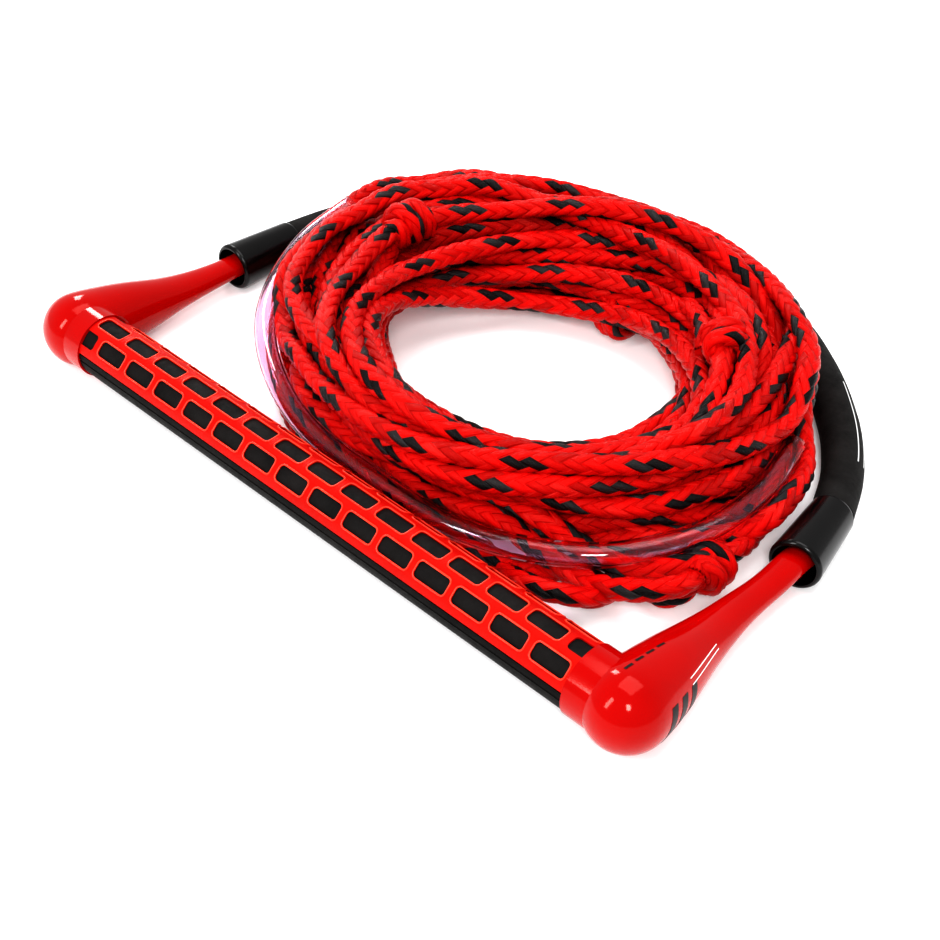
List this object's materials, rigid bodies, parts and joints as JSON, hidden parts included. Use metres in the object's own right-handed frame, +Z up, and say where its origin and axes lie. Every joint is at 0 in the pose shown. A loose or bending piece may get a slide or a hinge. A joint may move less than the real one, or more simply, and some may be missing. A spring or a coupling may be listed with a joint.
{
  "type": "tow rope handle",
  "caption": "Moulded grip bar with two elbow end caps and a float-covered rope bridle, with its braided tow line coiled inside the bridle and a clear sleeve.",
  "frame": {"origin": "on the floor at the middle of the handle and bridle's footprint, without the coiled line", "axes": "+X along the grip bar towards the right end cap, +Y from the bar back to the bridle's apex, +Z up"},
  "size_m": [0.38, 0.291, 0.0583],
  "materials": {
    "tube": "drawn, clear anodised",
    "liner": "closed-cell foam rubber",
    "grip_black": "moulded, fine matt",
    "grip_red": "moulded, satin",
    "cap_red": "moulded, gloss",
    "plug": "nylon",
    "bridle_cord": "braided polyethylene",
    "collar": "gloss black",
    "float": "EVA foam, matt",
    "line": "braided polyethylene, red with black tracers",
    "sleeve": "clear flexible vinyl"
  },
  "bodies": {
    "bridle": {"collar_left": "collar", "collar_right": "collar", "float_left": "float", "float_right": "float", "bridle_rope_left": "bridle_cord", "bridle_rope_right": "bridle_cord", "bridle_apex_knot": "line", "mainline_lead": "line", "mainline_coil": "line", "section_knot_1": "line", "section_knot_2": "line", "section_knot_3": "line", "tow_loop": "line", "clear_sleeve": "sleeve"},
    "handle": {"bar_tube": "tube", "grip_liner": "liner", "grip_base": "grip_black", "grip_lattice": "grip_red", "grip_keel_strip": "grip_black", "end_cap_left": "cap_red", "end_cap_right": "cap_red", "tube_plug_left": "plug", "tube_plug_right": "plug", "bridle_tail_left": "bridle_cord", "bridle_tail_right": "bridle_cord", "stopper_knot_left": "bridle_cord", "stopper_knot_right": "bridle_cord"}
  },
  "joints": [
    {"name": "handle_tilt", "type": "hinge", "parent": "bridle", "child": "handle", "pos_m": [0, -0.026, 0.012], "axis": [-1, 0, 0], "range_deg": [0, 15]}
  ]
}
